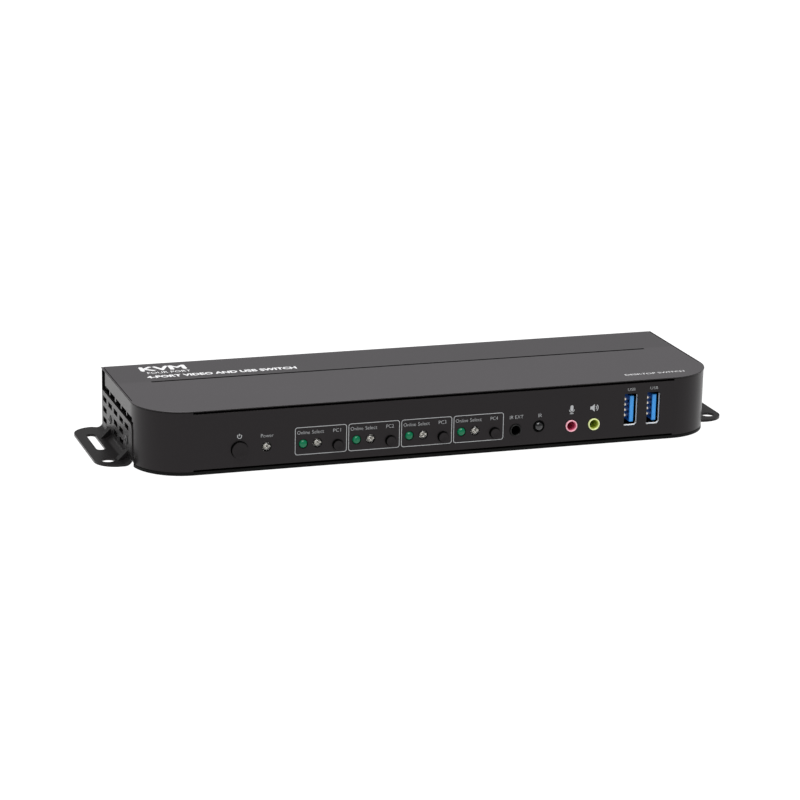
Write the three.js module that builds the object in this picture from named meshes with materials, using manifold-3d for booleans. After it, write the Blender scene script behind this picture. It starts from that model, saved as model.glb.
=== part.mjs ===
// A desktop KVM switch: a flat case with a wrap-around front shell, side brackets, five push buttons,
// indicator lamps, audio and data sockets, and the circuit board that carries them.
// Millimetres. Inside the chassis group x runs right, y runs back from the front face and z runs up
// from the underside of the case; the group puts the part's origin at its bottom centre.
import * as THREE from "three";
import { mergeVertices } from "three/addons/utils/BufferGeometryUtils.js";
import Module from "manifold-3d";

const wasm = await Module();
wasm.setup();

// ---- Driving dimensions ---------------------------------------------------------------------------
const CASE = { width: 250, depth: 75, height: 26, cornerR: 21 };
const HALF = CASE.width / 2;
const SHEET = 1; // bracket and tray sheet
const GAP = 0.3; // clearance between neighbouring pieces
const FLAT_X = CASE.width / 2 - CASE.cornerR; // the front face is flat as far as this

const COVER = { edge: 0.55, ribDrop: 1.8, ribT: 1.2, ribInset: 3.4, ribRearY: 72.9 };
const COVER_Z = CASE.height - COVER.edge;
const LINE = { y: 47, halfLength: 110, width: 1.1, depth: 0.35 };
const EDGE_LINE = { inset: 0.6, width: 0.35, depth: 0.35 }; // along each side of the cover

const SHELL = { inset: 0.25, wall: 2, sideWall: 1, rearY: 68.5, seam: 0.1, toothZ: 17.9 };
const GROOVE = { lowZ: 1.4, highZ: 24.55 }; // the flat front stops short of the base and the cover
const NOTCH = { centres: [23.4, 33.2, 43.4, 54.2, 64.4], length: 8.5, topZ: 19.6 };

const TRAY = {
  lowZ: -0.75, topZ: 0.6, rearY: 73.3, wallX: 123.2, wallTopZ: 16.3, lipY: 2.8, lipTopZ: 3.6, tab: 4.4,
};
const POST = { x: 104, frontY: 12, rearY: 56, r: 3, pinR: 1.3, pinTopZ: 6.8, holeR: 1.7 };

const BRACKET = {
  x: 124, frontY: 18.3, rearY: 73.3, topZ: 16.8, cornerR: 3,
  bendR: 2.5, relief: 1.8,
  earX: 138.4, earFrontY: 20, earRearY: 75.3, earR: 9, clearance: 0.5,
};
const SLOT = { columns: [27.5, 37.4, 47.8, 58, 68.1], rows: [4.6, 9.1, 13.6], length: 6.7, height: 2.2 };
const EAR_HOLE = { x: 132.8, y: 27.3, r: 2.85 };
const EAR_SLOT = { x: 132.2, frontY: 41.8, rearY: 65, r: 1.85 };
const GUSSET = { centres: [27.4, 59.5], width: 3.8, reach: 4.1, height: 4 };
const BRACKET_SCREW = {
  y: [27.5, 57.8], z: 7.8, headR: 1.9, headT: 0.35, shankR: 1.2, holeR: 1.5, length: 4, bossR: 3,
};

const REAR = {
  frontY: 73.7, rearY: 74.9, halfWidth: 124.75, lowZ: 0.2, highZ: 25.1,
  flangeX: 123.8, flangeY: 68.8, flangeT: 0.7,
};
// Cross-headed screws: where the head's crown starts, and the arms of its recess, as parts of the head.
const HEAD = { crown: 0.72, rim: 0.5, arm: 0.6, recess: 0.4, slotHalf: 0.35 };
const REAR_SCREW = {
  x: 117, z: 20.5, headR: 2.6, headT: 1.1, shankR: 1.2, holeR: 1.5, length: 5.5, lug: 3.4,
};

const BOARD = { halfWidth: 117, frontY: 4.6, rearY: 72.2, lowZ: 4, topZ: 5.6 };
const SEAT_Z = BOARD.topZ + 0.1; // underside of everything that stands on the board

const PC_GROUP = { count: 4, firstX: -61.9, pitch: 22.6, online: 3.5, select: 9.5, button: 18.1 };
const LAMP = {
  r: 1.8, z: 9.1, powerX: -73.7, frontY: -0.8, flangeY: 3, flangeR: 2.2, baseY: 5.2, footY: 7.2, dome: 0.8,
};
const DOME_STEPS = [0, 0.35, 0.7, 0.92, 1]; // radii along a dome, as parts of its edge
const POWER_BUTTON = { x: -85, z: 8.65, r: 3.4, collarR: 4.1, frontY: -1 };
const SELECT_BUTTON = { z: 7.65, r: 2.15, collarR: 2.85, frontY: -1 };
const BUTTON = { clearance: 0.15, collarY: 2.85, collarT: 0.8, stemY: 5.2, stemR: 1.4, edge: 0.35 };
const SWITCH = { frontY: 6.8, rearY: 10.4, halfWidth: 3, plungerR: 1.2, boreR: 1.4, plungerY: 5.5 };
const PLUNGER_END_Y = 9.2;
const BORE_END_Y = 10;

const JACK = { z: 8.1, rimR: 2.5, holeR: 1.9, frontY: -0.4, bodyY: 3, rearY: 15, halfWidth: 3.1, topZ: 10.7 };
const JACKS = { ir_ext_jack: 33.2, mic_jack: 58, headphone_jack: 68.1 };
const IR_LENS = {
  x: 43.5, z: 9, r: 2.4, domeR: 1.9, dome: 1.2, ringY: 0.5, frontY: -1, neckY: 2.9, bodyY: 3.4, rearY: 7.4,
};

const FRONT_USB = {
  x: [84.7, 94.9], z: 13.2, halfWidth: 2.95, halfHeight: 6.95,
  shell: 0.35, frontY: 0.9, rearY: 18, chamfer: 0.9, lip: 0.1,
};
const TONGUE = { lowX: -0.1, highX: 1.75, halfHeight: 5.7, frontY: 1.4, blockY: 12, blockGap: 0.2 };
const PANEL_GAP = 0.2; // between a socket and the edge of its cutout

const REAR_FACE_Y = 76; // how far the rear sockets reach
const RECESS = { floor: 1, tongueY: 0.5, setBack: 1 }; // inside a rear socket, from its ends
const MIN_CHAMFER = 0.1;
const VIDEO = { halfWidth: 7.5, height: 6.2, chamfer: 2, wall: 0.4, depth: 13, tongueT: 1.2, tongueX: 5.2 };
const USB_B = { halfWidth: 6, height: 11, chamfer: 1.6, wall: 0.7, depth: 16, tongueX: 2.8, tongueT: 3 };
const INPUT = { firstX: -78, pitch: 36, videoX: 8, usbX: -8 };
const VIDEO_OUT_X = 56;
const USB_STACK = { x: 76, halfWidth: 7.2, height: 15.6, wall: 0.35, depth: 17, tongueT: 1.9, tongueX: 5.6 };
const TERMINAL = { x: 93, halfWidth: 6.3, height: 7.2, wall: 0.9, depth: 9, pinHalf: 0.5, pitch: 3.8 };
const DC_JACK = { x: 107, halfWidth: 4.5, height: 11, holeR: 3.2, pinR: 1, z: 11.2, depth: 13 };
const HEATSINK = { x: 4, y: 36, half: 14, lowZ: 7.6, baseT: 2, topZ: 17.5, fins: 7, finT: 1.2 };
const CHIPS = [
  { x: 4, y: 36, half: 9, t: 1.6 },
  { x: -60, y: 30, half: 7, t: 1.4 },
  { x: 66, y: 34, half: 6, t: 1.4 },
  { x: -28, y: 30, half: 4, t: 1.2 },
  { x: 36, y: 36, half: 4, t: 1.2 },
];

const FINE = 20; // sides of a large round
const ROUND = 16; // sides of a small round
const CORNER_STEPS = 12; // flats along each round corner of a plan
const SMALL = 12; // sides of a screw's shank or a pin
const BEND_STEPS = 6; // flats along each bend of a sheet
const OVERRUN = 1; // how far a cutter runs past what it cuts
const WELD = 1e-4; // corners closer than this are one corner

// ---- Solids ---------------------------------------------------------------------------------------
// A closed three.js geometry as a solid that can be joined and cut.
function solidOf(geometry) {
  geometry.deleteAttribute("normal");
  geometry.deleteAttribute("uv");
  const merged = mergeVertices(geometry, WELD);
  return new wasm.Manifold(
    new wasm.Mesh({
      numProp: 3,
      vertProperties: new Float32Array(merged.attributes.position.array),
      triVerts: new Uint32Array(merged.index.array),
    }),
  );
}

// A solid back as a geometry.
function geometryOf(solid) {
  const mesh = solid.getMesh();
  const geometry = new THREE.BufferGeometry();
  geometry.setAttribute("position", new THREE.BufferAttribute(new Float32Array(mesh.vertProperties), 3));
  geometry.setIndex(new THREE.BufferAttribute(new Uint32Array(mesh.triVerts), 1));
  geometry.computeVertexNormals();
  return geometry;
}

function box(x0, x1, y0, y1, z0, z1) {
  const geometry = new THREE.BoxGeometry(x1 - x0, y1 - y0, z1 - z0);
  return solidOf(geometry.translate((x0 + x1) / 2, (y0 + y1) / 2, (z0 + z1) / 2));
}

// A plan outline raised from z0 to z1.
function raised(shape, z0, z1) {
  const options = { depth: z1 - z0, bevelEnabled: false, curveSegments: CORNER_STEPS };
  return solidOf(new THREE.ExtrudeGeometry(shape, options).translate(0, 0, z0));
}

// An outline drawn as seen from the front (x, z), run back from y0 to y1.
function runBack(shape, y0, y1) {
  const options = { depth: y1 - y0, bevelEnabled: false, curveSegments: BEND_STEPS };
  return solidOf(new THREE.ExtrudeGeometry(shape, options).rotateX(Math.PI / 2).translate(0, y1, 0));
}

// An outline drawn on the side (y, z), run across from x0 to x1.
function runAcross(shape, x0, x1) {
  const options = { depth: x1 - x0, bevelEnabled: false, curveSegments: BEND_STEPS };
  const turn = new THREE.Matrix4().makeBasis(
    new THREE.Vector3(0, 1, 0),
    new THREE.Vector3(0, 0, 1),
    new THREE.Vector3(1, 0, 0),
  );
  return solidOf(new THREE.ExtrudeGeometry(shape, options).applyMatrix4(turn).translate(x0, 0, 0));
}

// A round bar along y, x or z.
function barY(x, z, r, y0, y1, sides = ROUND) {
  const geometry = new THREE.CylinderGeometry(r, r, y1 - y0, sides);
  return solidOf(geometry.translate(x, (y0 + y1) / 2, z));
}

function barX(y, z, r, x0, x1, sides = ROUND) {
  const geometry = new THREE.CylinderGeometry(r, r, x1 - x0, sides).rotateZ(Math.PI / 2);
  return solidOf(geometry.translate((x0 + x1) / 2, y, z));
}

function barZ(x, y, r, z0, z1, sides = ROUND) {
  const geometry = new THREE.CylinderGeometry(r, r, z1 - z0, sides).rotateX(Math.PI / 2);
  return solidOf(geometry.translate(x, y, (z0 + z1) / 2));
}

// A turned piece on an axis along y: profile points are [radius, y], from the front to the back.
function turned(x, z, profile, sides = ROUND) {
  const points = profile.map(([r, y]) => new THREE.Vector2(r, y));
  return solidOf(new THREE.LatheGeometry(points, sides).translate(x, 0, z));
}

// The low and high x of a span that is given outwards from the middle, on the left (-1) or right (1).
function across(side, inner, outer) {
  return side > 0 ? [inner, outer] : [-outer, -inner];
}

// The first and fourth slot columns hold a screw below their top slot.
function hasScrew(column) {
  return column === 0 || column === 3;
}

function joined(...solids) {
  return solids.reduce((whole, piece) => whole.add(piece));
}

function cut(solid, ...cutters) {
  return cutters.reduce((left, cutter) => left.subtract(cutter), solid);
}

// The case's plan: round front corners and nearly square rear ones, moved in by an inset.
function casePlan(inset, rearY) {
  const x = HALF - inset;
  const r = CASE.cornerR - inset;
  const plan = new THREE.Shape();
  plan.moveTo(-x, rearY);
  plan.lineTo(-x, CASE.cornerR);
  plan.absarc(-x + r, CASE.cornerR, r, Math.PI, 1.5 * Math.PI, false);
  plan.absarc(x - r, CASE.cornerR, r, 1.5 * Math.PI, 2 * Math.PI, false);
  plan.lineTo(x, rearY);
  plan.closePath();
  return plan;
}

// A rectangle with its two upper corners cut off, as many sockets have.
function socketShape(x, z0, halfWidth, height, chamfer, inset = 0) {
  const w = halfWidth - inset;
  const low = z0 + inset;
  const high = z0 + height - inset;
  const c = Math.max(chamfer - inset / 2, MIN_CHAMFER);
  const shape = new THREE.Shape();
  shape.moveTo(x - w, low);
  shape.lineTo(x + w, low);
  shape.lineTo(x + w, high - c);
  shape.lineTo(x + w - c, high);
  shape.lineTo(x - w + c, high);
  shape.lineTo(x - w, high - c);
  shape.closePath();
  return shape;
}

// ---- Named meshes ---------------------------------------------------------------------------------
const FINISH = {
  cover: [0x46454a, 0.45, 0.1],
  shell: [0x1b1a1b, 0.35, 0],
  steel: [0x2b2b2d, 0.5, 0.6],
  panel: [0x141415, 0.4, 0],
  screw: [0x8d8f93, 0.35, 0.9],
  board: [0x1d4a2d, 0.6, 0],
  button: [0x151516, 0.3, 0],
  white: [0xd8d8d2, 0.5, 0],
  black: [0x101011, 0.45, 0],
  clear: [0xdfe6e6, 0.1, 0],
  green: [0x1f9a55, 0.2, 0],
  pink: [0xe58aa0, 0.35, 0],
  lime: [0xc8dc70, 0.35, 0],
  blue: [0x2a8fe0, 0.35, 0],
  bright: [0xc9ccd0, 0.25, 1],
  alloy: [0x9a9da1, 0.4, 0.9],
};

const product = new THREE.Group();
const chassis = new THREE.Group();
chassis.position.set(0, -CASE.depth / 2, SHEET);
product.add(chassis);

function place(name, finish, solid) {
  const [color, roughness, metalness] = FINISH[finish];
  const material = new THREE.MeshStandardMaterial({ color, roughness, metalness });
  const mesh = new THREE.Mesh(geometryOf(solid), material);
  mesh.name = name;
  chassis.add(mesh);
}

// ---- Case -----------------------------------------------------------------------------------------
function topCover() {
  const plate = raised(casePlan(0, CASE.depth), COVER_Z, CASE.height);
  const { ribDrop, ribT, ribInset, ribRearY } = COVER;
  const ribLow = COVER_Z - ribDrop;
  const ribTop = COVER_Z + COVER.edge / 2;
  const rib = cut(
    raised(casePlan(ribInset, ribRearY), ribLow, ribTop),
    raised(casePlan(ribInset + ribT, ribRearY - ribT), ribLow - OVERRUN, COVER_Z),
  );
  // Two lugs behind the rear panel take its screws.
  const lugs = [-1, 1].map((side) => {
    const x = side * REAR_SCREW.x;
    const half = REAR_SCREW.lug;
    return box(x - half, x + half, ribRearY - ribT, ribRearY, REAR_SCREW.z - half, ribTop);
  });
  const holes = [-1, 1].map((side) =>
    barY(side * REAR_SCREW.x, REAR_SCREW.z, REAR_SCREW.holeR, ribRearY - 2 * ribT, ribRearY + OVERRUN),
  );
  const line = box(
    -LINE.halfLength, LINE.halfLength, LINE.y - LINE.width / 2, LINE.y + LINE.width / 2,
    CASE.height - LINE.depth, CASE.height + OVERRUN,
  );
  const edgeX = HALF - EDGE_LINE.inset;
  const edgeLines = [-1, 1].map((side) => {
    const span = across(side, edgeX - EDGE_LINE.width, edgeX);
    const lowZ = CASE.height - EDGE_LINE.depth;
    return box(...span, CASE.cornerR, CASE.depth + OVERRUN, lowZ, CASE.height + OVERRUN);
  });
  return cut(joined(plate, rib, ...lugs), line, ...edgeLines, ...holes);
}

// Round holes for the lamps, buttons and jacks, and the upright cutouts for the data sockets.
function frontHoles() {
  const y0 = -OVERRUN;
  const y1 = SHELL.inset + SHELL.wall + OVERRUN / 4;
  const hole = (x, z, r, sides = ROUND) => barY(x, z, r, y0, y1, sides);
  const holes = [
    hole(POWER_BUTTON.x, POWER_BUTTON.z, POWER_BUTTON.r + BUTTON.clearance, FINE),
    hole(LAMP.powerX, LAMP.z, LAMP.r + BUTTON.clearance),
    hole(IR_LENS.x, IR_LENS.z, IR_LENS.r + BUTTON.clearance),
  ];
  for (const x of Object.values(JACKS)) holes.push(hole(x, JACK.z, JACK.rimR + BUTTON.clearance));
  for (let i = 0; i < PC_GROUP.count; i++) {
    const x = PC_GROUP.firstX + i * PC_GROUP.pitch;
    holes.push(hole(x + PC_GROUP.online, LAMP.z, LAMP.r + BUTTON.clearance));
    holes.push(hole(x + PC_GROUP.select, LAMP.z, LAMP.r + BUTTON.clearance));
    holes.push(hole(x + PC_GROUP.button, SELECT_BUTTON.z, SELECT_BUTTON.r + BUTTON.clearance));
  }
  // A thin lip of the front hides each data socket's rim; behind it a pocket clears the shell.
  const pocketY = FRONT_USB.frontY - FRONT_USB.lip;
  for (const x of FRONT_USB.x) {
    holes.push(runBack(uprightShape(x, 0), y0, y1));
    holes.push(runBack(uprightShape(x, FRONT_USB.shell + PANEL_GAP), pocketY, y1));
  }
  return holes;
}

function frontShell() {
  const lowZ = TRAY.topZ + SHELL.seam;
  const highZ = COVER_Z - SHELL.seam;
  const outer = raised(casePlan(SHELL.inset, SHELL.rearY), lowZ, highZ);
  const [below, above, behind] = [lowZ - OVERRUN, highZ + OVERRUN, SHELL.rearY + OVERRUN];
  const inner = raised(casePlan(SHELL.inset + SHELL.wall, behind), below, above);
  const sideInner = HALF - SHELL.inset - SHELL.sideWall;
  const cutoutFront = BRACKET.frontY - BRACKET.clearance;
  const thinSides = box(-sideInner, sideInner, cutoutFront, behind, below, above);
  const past = HALF + OVERRUN;
    const bracketCut = box(-past, past, cutoutFront, behind, below, SHELL.toothZ);
  const front = CASE.cornerR / 2;
  const lowGroove = box(-FLAT_X, FLAT_X, -OVERRUN, front, below, GROOVE.lowZ);
  const highGroove = box(-FLAT_X, FLAT_X, -OVERRUN, front, GROOVE.highZ, above);
  const notches = NOTCH.centres.map((y) =>
    box(-past, past, y - NOTCH.length / 2, y + NOTCH.length / 2, SHELL.toothZ - OVERRUN, NOTCH.topZ),
  );
  return cut(outer, inner, thinSides, bracketCut, lowGroove, highGroove, ...notches, ...frontHoles());
}

// The floor of the case, with its vented side walls, a front lip and the posts that carry the board.
function baseTray() {
  const { lowZ, topZ, rearY, lipY, lipTopZ } = TRAY;
  const past = HALF + OVERRUN;
  const recessY = BRACKET.frontY - BRACKET.clearance;
  const recesses = [-1, 1].map((side) =>
    box(...across(side, TRAY.wallX, past), recessY, rearY + OVERRUN, lowZ - OVERRUN, topZ + OVERRUN),
  );
  const floor = cut(raised(casePlan(SHELL.inset, rearY), lowZ, topZ), ...recesses);
  const lip = box(-FLAT_X, FLAT_X, lipY, lipY + SHEET, 0, lipTopZ);
  const posts = [];
  for (const x of [-POST.x, POST.x]) {
    for (const y of [POST.frontY, POST.rearY]) {
      posts.push(barZ(x, y, POST.r, 0, BOARD.lowZ - SHELL.seam));
      posts.push(barZ(x, y, POST.pinR, topZ, POST.pinTopZ, SMALL));
    }
  }
  return joined(floor, trayWall(-1), trayWall(1), lip, ...posts);
}

// A side wall of the tray: one wide vent behind the bracket's slots, with a tab up to each screw.
function trayWall(side) {
  const { topZ, rearY, wallX, wallTopZ, tab } = TRAY;
  const front = BRACKET.frontY;
  const wall = box(...across(side, wallX - SHEET, wallX), front, rearY, 0, wallTopZ);
  const through = across(side, wallX - 2 * SHEET, wallX + SHEET);
  const ventTop = SLOT.rows[2] + SLOT.height / 2;
  const vent = box(...through, front + 2 * SHEET, rearY - SHEET, topZ + SHEET, ventTop);
  const tabTop = BRACKET_SCREW.z + BRACKET_SCREW.bossR;
  const tabs = BRACKET_SCREW.y.map((y) =>
    box(...across(side, wallX - SHEET, wallX), y - tab, y + tab, 0, tabTop),
  );
  // A boss round each screw hole meets the bracket.
  const { z, bossR, holeR } = BRACKET_SCREW;
  const bossSpan = across(side, wallX - SHEET / 2, BRACKET.x - GAP);
  const bosses = BRACKET_SCREW.y.map((y) => barX(y, z, bossR, ...bossSpan));
  const holes = BRACKET_SCREW.y.map((y) => barX(y, z, holeR, ...through, SMALL));
  return cut(joined(cut(wall, vent), ...tabs, ...bosses), ...holes);
}

// ---- Brackets -------------------------------------------------------------------------------------
// The bent sheet: a profile seen from the front gives the bend, the plan trims the ear, and the side
// view trims the flange.
function bracketRight() {
  const { x, frontY, rearY, topZ, cornerR, bendR, relief, earX, earFrontY, earRearY, earR } = BRACKET;
  const bendX = x + SHEET + bendR;
  const profile = new THREE.Shape();
  profile.moveTo(x, topZ);
  profile.lineTo(x, bendR);
  profile.absarc(bendX, bendR, bendR + SHEET, Math.PI, 1.5 * Math.PI, false);
  profile.lineTo(earX, -SHEET);
  profile.lineTo(earX, 0);
  profile.absarc(bendX, bendR, bendR, 1.5 * Math.PI, Math.PI, true);
  profile.lineTo(x + SHEET, topZ);
  profile.closePath();

  const side = new THREE.Shape();
  side.moveTo(earFrontY, -2 * SHEET);
  side.lineTo(earRearY, -2 * SHEET);
  side.lineTo(earRearY, topZ + SHEET);
  side.lineTo(frontY + cornerR, topZ + SHEET);
  side.lineTo(frontY + cornerR, topZ);
  side.absarc(frontY + cornerR, topZ - cornerR, cornerR, Math.PI / 2, Math.PI, false);
  side.lineTo(frontY, relief + SHEET);
  side.absarc(earFrontY, relief + SHEET, earFrontY - frontY, Math.PI, 1.5 * Math.PI, false);
  side.closePath();

  const plan = new THREE.Shape();
  plan.moveTo(x - SHEET, frontY);
  plan.lineTo(bendX, frontY);
  plan.lineTo(bendX + relief, earFrontY);
  plan.lineTo(earX - earR, earFrontY);
  plan.absarc(earX - earR, earFrontY + earR, earR, -Math.PI / 2, 0, false);
  plan.absarc(earX - earR, earRearY - earR, earR, 0, Math.PI / 2, false);
  plan.lineTo(x + SHEET, rearY);
  plan.lineTo(x - SHEET, rearY);
  plan.closePath();

  const sheet = runBack(profile, frontY, earRearY)
    .intersect(runAcross(side, x - SHEET, earX + SHEET))
    .intersect(raised(plan, -2 * SHEET, topZ + 2 * SHEET));
  const ribs = GUSSET.centres.map((y) => {
    const rib = new THREE.Shape();
    const [foot, top] = [x + SHEET + GUSSET.reach, GUSSET.height];
    rib.moveTo(foot, -SHEET / 2);
    rib.lineTo(foot, 0);
    rib.lineTo(x + SHEET, top);
    rib.lineTo(x + SHEET / 2, top);
    rib.lineTo(x + SHEET / 2, bendR);
    rib.absarc(bendX, bendR, bendR + SHEET / 2, Math.PI, 1.5 * Math.PI, false);
    rib.closePath();
    return runBack(rib, y - GUSSET.width / 2, y + GUSSET.width / 2);
  });
  const [under, over] = [-SHEET - OVERRUN, OVERRUN];
  const { x: slotX, r: slotR } = EAR_SLOT;
  const slotEnds = [EAR_SLOT.frontY + slotR, EAR_SLOT.rearY - slotR];
  const holes = [
    barZ(EAR_HOLE.x, EAR_HOLE.y, EAR_HOLE.r, under, over),
    box(slotX - slotR, slotX + slotR, ...slotEnds, under, over),
    ...slotEnds.map((y) => barZ(slotX, y, slotR, under, over)),
  ];
  SLOT.columns.forEach((y, i) => {
    for (const z of hasScrew(i) ? SLOT.rows.slice(2) : SLOT.rows) {
      const [dy, dz] = [SLOT.length / 2, SLOT.height / 2];
      holes.push(box(x - OVERRUN, x + SHEET + OVERRUN, y - dy, y + dy, z - dz, z + dz));
    }
  });
  for (const y of BRACKET_SCREW.y)
    holes.push(barX(y, BRACKET_SCREW.z, BRACKET_SCREW.holeR, x - OVERRUN, x + SHEET + OVERRUN, SMALL));
  return cut(joined(sheet, ...ribs), ...holes);
}

function mirrored(solid) {
  return solid.mirror([1, 0, 0]);
}

// A cross-headed screw along y, its head's flat face at y = 0.
function screw(r, headR, headT, length) {
  const profile = [
    [0, -headT], [headR * HEAD.crown, -headT], [headR, -headT * HEAD.rim], [headR, 0],
    [r, 0], [r, length], [0, length],
  ];
  const arm = headR * HEAD.arm;
  const recess = [[arm, HEAD.slotHalf], [HEAD.slotHalf, arm]].map(([w, h]) =>
    box(-w, w, -headT - OVERRUN, -headT * HEAD.recess, -h, h),
  );
  return cut(turned(0, 0, profile, SMALL), ...recess);
}

function bracketScrew(side, y) {
  const s = BRACKET_SCREW;
  const pointing = screw(s.shankR, s.headR, s.headT, s.length).rotate([0, 0, side * 90]);
  return pointing.translate([side * (BRACKET.x + SHEET + SHELL.seam), y, s.z]);
}

function rearScrew(side) {
  const s = REAR_SCREW;
  const pointing = screw(s.shankR, s.headR, s.headT, s.length).rotate([0, 0, 180]);
  return pointing.translate([side * s.x, REAR.rearY + SHELL.seam, s.z]);
}

// ---- Controls and lamps ---------------------------------------------------------------------------
function button(x, z, r, collarR, frontY) {
  const { edge, collarY, collarT, stemY, stemR } = BUTTON;
  const profile = [
    [0, frontY], [r - edge, frontY], [r, frontY + edge], [r, collarY], [collarR, collarY],
    [collarR, collarY + collarT], [stemR, collarY + collarT], [stemR, stemY], [0, stemY],
  ];
  return turned(x, z, profile, FINE);
}

function plunger(x, z) {
  return barY(x, z, SWITCH.plungerR, SWITCH.plungerY, PLUNGER_END_Y, SMALL);
}

function switchBody(x, z) {
  const { frontY, rearY, halfWidth, boreR } = SWITCH;
  const body = box(x - halfWidth, x + halfWidth, frontY, rearY, SEAT_Z, z + halfWidth - GAP);
  return cut(body, barY(x, z, boreR, frontY - OVERRUN, BORE_END_Y, SMALL));
}

// A shallow dome's profile, from its tip at frontY to its edge.
function domeProfile(r, frontY, height) {
  return DOME_STEPS.map((t) => [r * t, frontY + height * (1 - Math.sqrt(1 - t * t))]);
}

function lamp(x, z) {
  const { r, frontY, flangeY, flangeR, baseY, footY, dome } = LAMP;
  const profile = [
    ...domeProfile(r, frontY, dome), [r, flangeY], [flangeR, flangeY], [flangeR, baseY], [0, baseY],
  ];
  const foot = box(x - r, x + r, BOARD.frontY + GAP, footY, SEAT_Z, z + r / 2);
  return joined(turned(x, z, profile, SMALL), foot);
}

function jack(x) {
  const { z, rimR, holeR, frontY, bodyY, rearY, halfWidth, topZ } = JACK;
  const body = box(x - halfWidth, x + halfWidth, BOARD.frontY + GAP, rearY, SEAT_Z, topZ);
  const neck = box(x - halfWidth, x + halfWidth, bodyY, BOARD.frontY + GAP, SEAT_Z, topZ);
  const rim = barY(x, z, rimR, frontY, bodyY + OVERRUN, FINE);
  return cut(joined(body, neck, rim), barY(x, z, holeR, frontY - OVERRUN, rearY - OVERRUN, ROUND));
}

function irReceiver() {
  const { x, z, r, domeR, dome, ringY, frontY, neckY, bodyY, rearY } = IR_LENS;
  const profile = [...domeProfile(domeR, frontY, dome), [domeR, ringY], [r, ringY], [r, bodyY], [0, bodyY]];
  const block = box(x - r, x + r, BOARD.frontY + GAP, rearY, SEAT_Z, z + r);
  const neck = box(x - r, x + r, neckY, BOARD.frontY + GAP, z - r, z + r);
  return joined(turned(x, z, profile, ROUND), neck, block);
}

// ---- Sockets --------------------------------------------------------------------------------------
// The outline of an upright socket, its two right corners cut off.
function uprightShape(x, margin) {
  const { z, halfWidth, halfHeight, chamfer } = FRONT_USB;
  const w = halfWidth + margin;
  const h = halfHeight + margin;
  const shape = new THREE.Shape();
  shape.moveTo(x - w, z - h);
  shape.lineTo(x + w - chamfer, z - h);
  shape.lineTo(x + w, z - h + chamfer);
  shape.lineTo(x + w, z + h - chamfer);
  shape.lineTo(x + w - chamfer, z + h);
  shape.lineTo(x - w, z + h);
  shape.closePath();
  return shape;
}

function frontUsbShell(x) {
  const { shell: t, frontY, rearY } = FRONT_USB;
  const hollow = runBack(uprightShape(x, 0), frontY - OVERRUN, rearY - 2 * t);
  return cut(runBack(uprightShape(x, t), frontY, rearY), hollow);
}

function frontUsbTongue(x) {
  const { z, halfWidth, halfHeight, rearY, shell } = FRONT_USB;
  const { lowX, highX, halfHeight: h, frontY, blockY, blockGap } = TONGUE;
  const w = halfWidth - blockGap;
  const b = halfHeight - blockGap - FRONT_USB.chamfer;
  const blade = box(x + lowX, x + highX, frontY, blockY + OVERRUN, z - h, z + h);
  return joined(blade, box(x - w, x + w, blockY, rearY - 2 * shell - blockGap, z - b, z + b));
}

// A rear socket: a shell open to the back with a tongue standing inside it.
function socket(x, spec) {
  const { halfWidth, height, chamfer, wall, depth, tongueX, tongueT } = spec;
  const y0 = REAR_FACE_Y - depth;
  const y1 = REAR_FACE_Y + OVERRUN;
  const outer = runBack(socketShape(x, SEAT_Z, halfWidth, height, chamfer), y0, REAR_FACE_Y);
  const inner = socketShape(x, SEAT_Z, halfWidth, height, chamfer, wall);
  const tongueZ = SEAT_Z + (height - tongueT) / 2;
  const tongueEnd = REAR_FACE_Y - RECESS.setBack;
  const tongue = box(x - tongueX, x + tongueX, y0 + RECESS.tongueY, tongueEnd, tongueZ, tongueZ + tongueT);
  return joined(cut(outer, runBack(inner, y0 + RECESS.floor, y1)), tongue);
}

function usbStack() {
  const { x, halfWidth: w, height, wall, depth, tongueT, tongueX } = USB_STACK;
  const y0 = REAR_FACE_Y - depth;
  const y1 = REAR_FACE_Y + OVERRUN;
  const level = height / 2;
  const tongueEnd = REAR_FACE_Y - RECESS.setBack;
  let stack = box(x - w, x + w, y0, REAR_FACE_Y, SEAT_Z, SEAT_Z + height);
  for (const low of [SEAT_Z, SEAT_Z + level]) {
    const bay = box(x - w + wall, x + w - wall, y0 + RECESS.floor, y1, low + wall, low + level - wall);
    const tongueLow = low + level / 2 - GAP;
    const tongueHigh = tongueLow + tongueT;
    const blade = box(x - tongueX, x + tongueX, y0 + RECESS.tongueY, tongueEnd, tongueLow, tongueHigh);
    stack = joined(cut(stack, bay), blade);
  }
  return stack;
}

function serialTerminal() {
  const { x, halfWidth: w, height, wall, depth, pinHalf, pitch } = TERMINAL;
  const y0 = REAR_FACE_Y - depth;
  const [lowZ, midZ, highZ] = [SEAT_Z, SEAT_Z + height / 2, SEAT_Z + height];
  const body = box(x - w, x + w, y0, REAR_FACE_Y, lowZ, highZ);
  const floorY = y0 + RECESS.floor + RECESS.tongueY;
  const mouth = box(x - w + wall, x + w - wall, floorY, REAR_FACE_Y + OVERRUN, lowZ + wall, highZ - wall);
  const pins = [-1, 0, 1].map((i) => {
    const px = x + i * pitch;
    const pinEnd = REAR_FACE_Y - RECESS.setBack;
    return box(px - pinHalf, px + pinHalf, y0 + RECESS.floor, pinEnd, midZ - pinHalf, midZ + pinHalf);
  });
  return joined(cut(body, mouth), ...pins);
}

function dcJack() {
  const { x, halfWidth: w, height, holeR, pinR, z, depth } = DC_JACK;
  const y0 = REAR_FACE_Y - depth;
  const body = box(x - w, x + w, y0, REAR_FACE_Y, SEAT_Z, SEAT_Z + height);
  const hole = barY(x, z, holeR, y0 + RECESS.floor, REAR_FACE_Y + OVERRUN, FINE);
  const pin = barY(x, z, pinR, y0 + RECESS.tongueY, REAR_FACE_Y - RECESS.setBack, SMALL);
  return joined(cut(body, hole), pin);
}

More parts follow.
